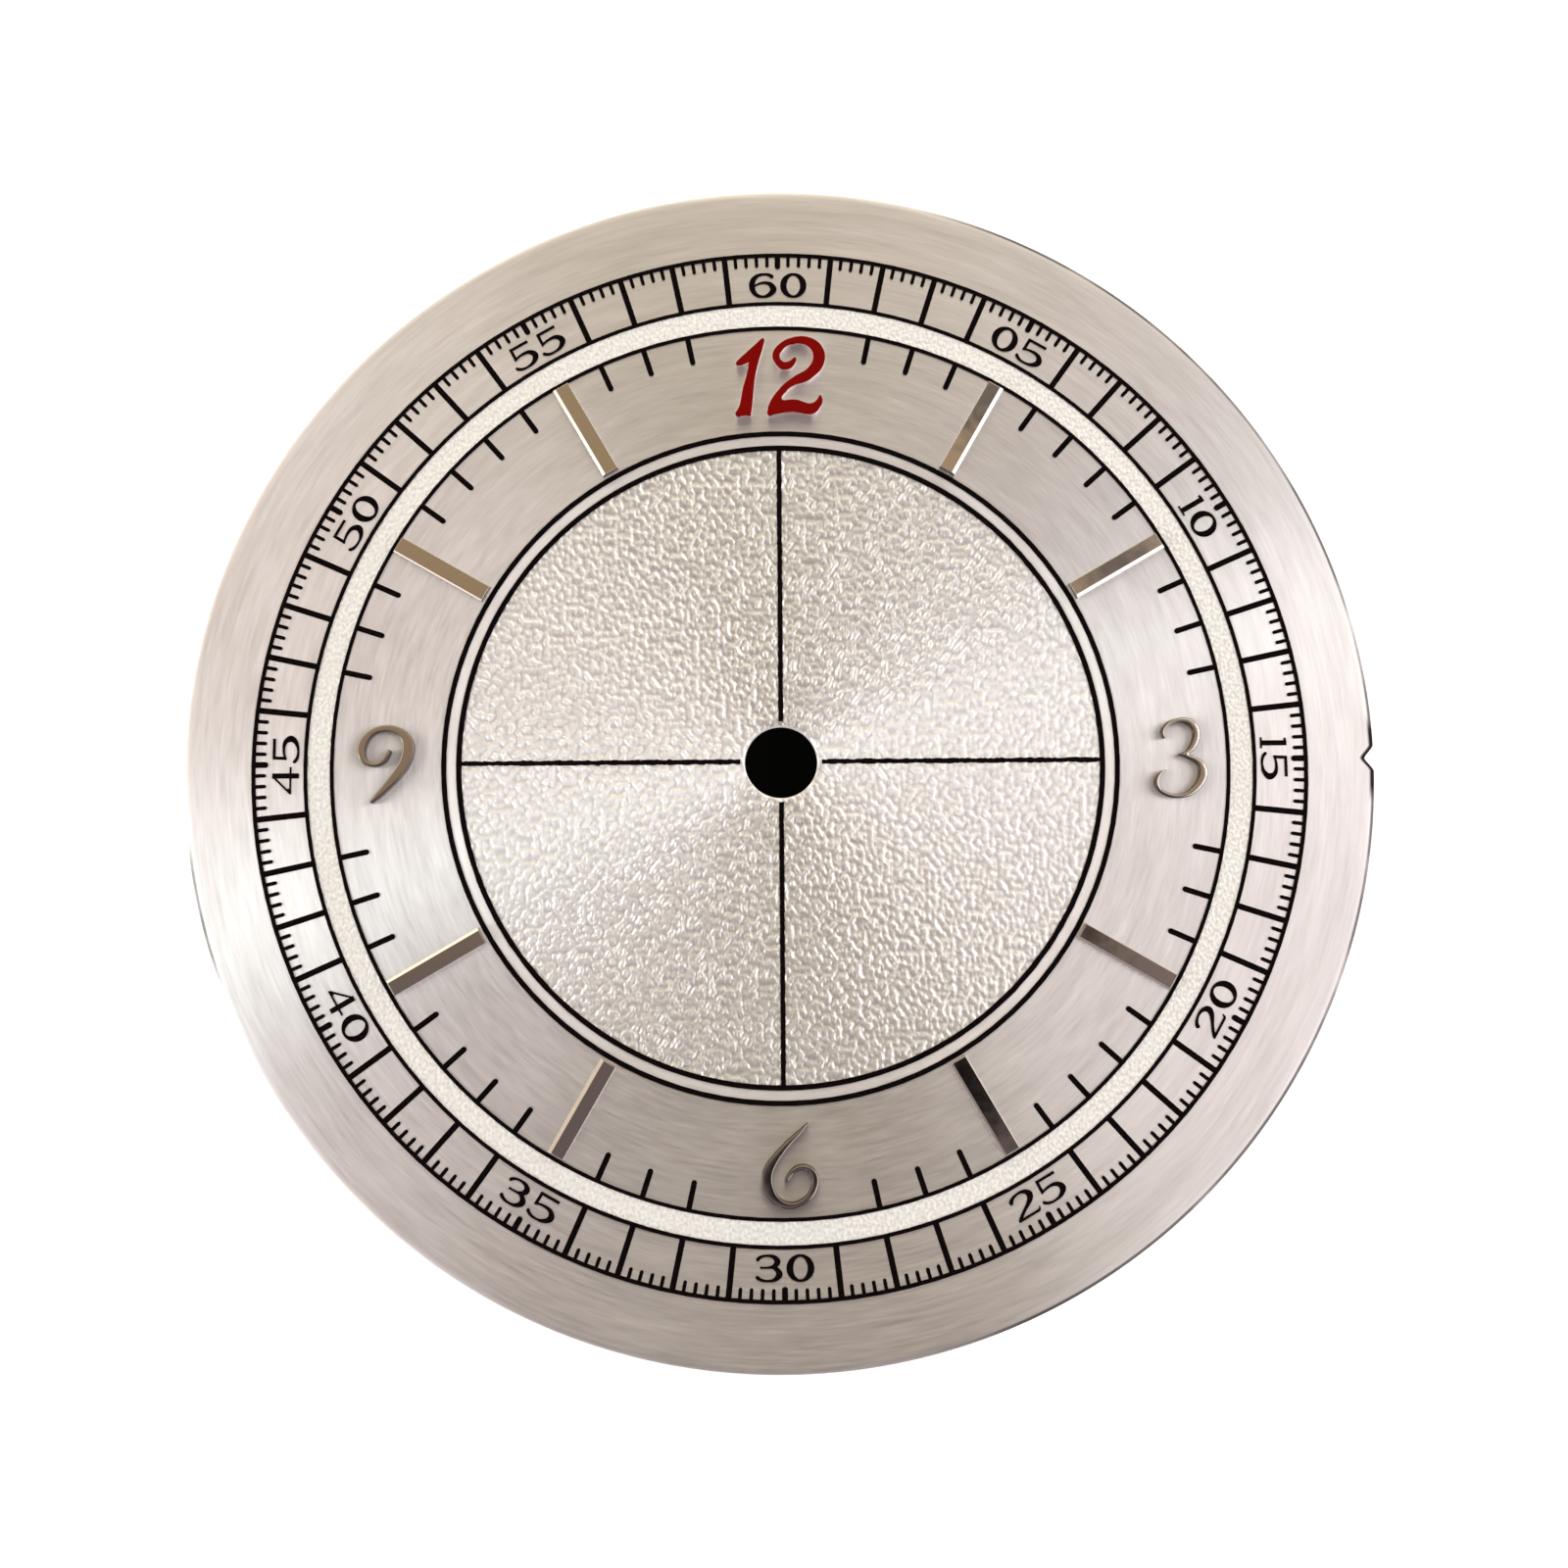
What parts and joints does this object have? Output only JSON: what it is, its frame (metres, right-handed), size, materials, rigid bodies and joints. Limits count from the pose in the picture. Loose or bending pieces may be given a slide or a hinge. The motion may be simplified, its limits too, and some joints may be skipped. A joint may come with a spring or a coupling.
{
  "type": "watch dial",
  "caption": "Round silvered sector watch dial with applied batons and numerals, a printed minute track and two feet on the back.",
  "frame": {"origin": "centre of the centre hole at the plate's back face", "axes": "+Z out of the printed face along the centre hole, +Y to 12 o'clock, +X to 3 o'clock"},
  "size_m": [0.0335, 0.0334, 0.0027],
  "materials": {
    "silvered_plate": "silvered brass, circular brushed, with frosted centre and ring",
    "polished_marker": "mirror polished",
    "red_lacquer": "gloss red lacquer over metal",
    "black_ink": "printed dial lacquer",
    "copper_foot": "drawn wire with soldered root"
  },
  "bodies": {
    "root": {"dial_plate": "silvered_plate", "dial_foot_upper": "copper_foot", "dial_foot_lower": "copper_foot", "baton_1": "polished_marker", "baton_2": "polished_marker", "baton_4": "polished_marker", "baton_5": "polished_marker", "baton_7": "polished_marker", "baton_8": "polished_marker", "baton_10": "polished_marker", "baton_11": "polished_marker", "numeral_3": "polished_marker", "numeral_6": "polished_marker", "numeral_9": "polished_marker", "numeral_12_one": "red_lacquer", "numeral_12_two": "red_lacquer", "minute_track_print": "black_ink", "minute_numeral_print": "black_ink", "hour_track_print": "black_ink", "crosshair_print": "black_ink", "sector_circle_print": "black_ink"}
  },
  "joints": []
}
